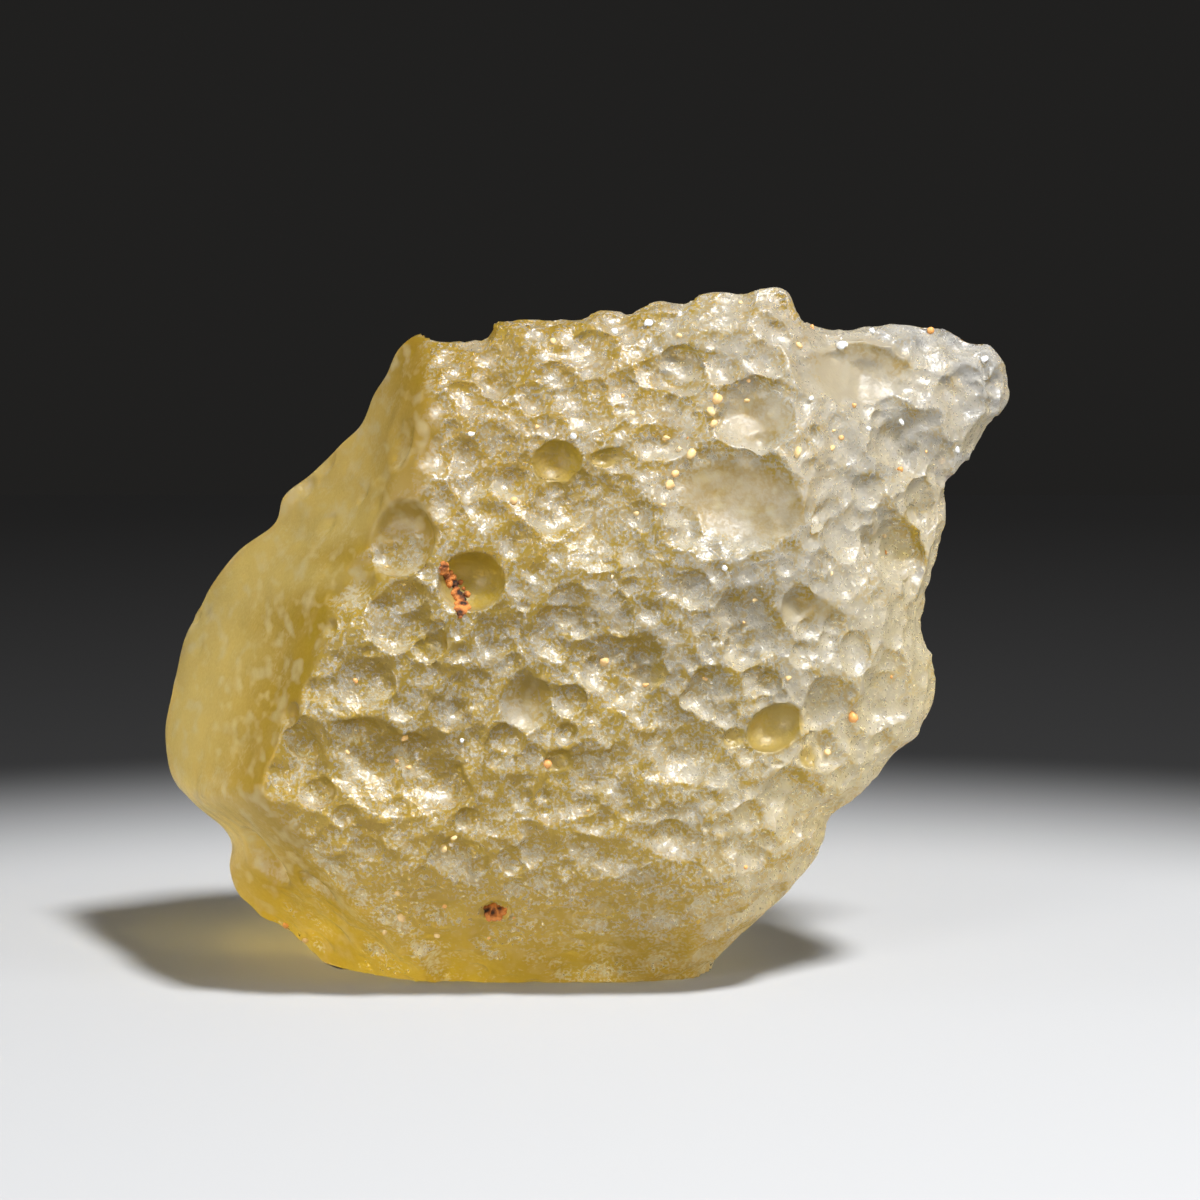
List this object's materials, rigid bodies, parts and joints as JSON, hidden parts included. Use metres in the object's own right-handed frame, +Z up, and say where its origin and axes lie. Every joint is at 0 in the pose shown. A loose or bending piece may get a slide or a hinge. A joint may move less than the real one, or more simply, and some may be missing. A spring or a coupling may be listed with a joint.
{
  "type": "tektite",
  "caption": "Lump of natural pale yellow impact glass: sandblasted face with bowls and pits, smooth shoulder, jutting lobe, dry soil lodged in pits; stands on a small flat spot.",
  "frame": {"origin": "under the middle of the stone's box, on the surface that its flat spot rests on", "axes": "+Z up; -Y out of the dimpled main face; +X from the smooth shoulder towards the jutting lobe, along the stone's longest extent"},
  "size_m": [0.0508, 0.026, 0.0413],
  "materials": {
    "impact_glass": "satin",
    "dry_soil": "matte"
  },
  "bodies": {
    "root": {"tektite_glass": "impact_glass", "soil_in_upper_pit": "dry_soil", "soil_in_lower_pit": "dry_soil"}
  },
  "joints": []
}
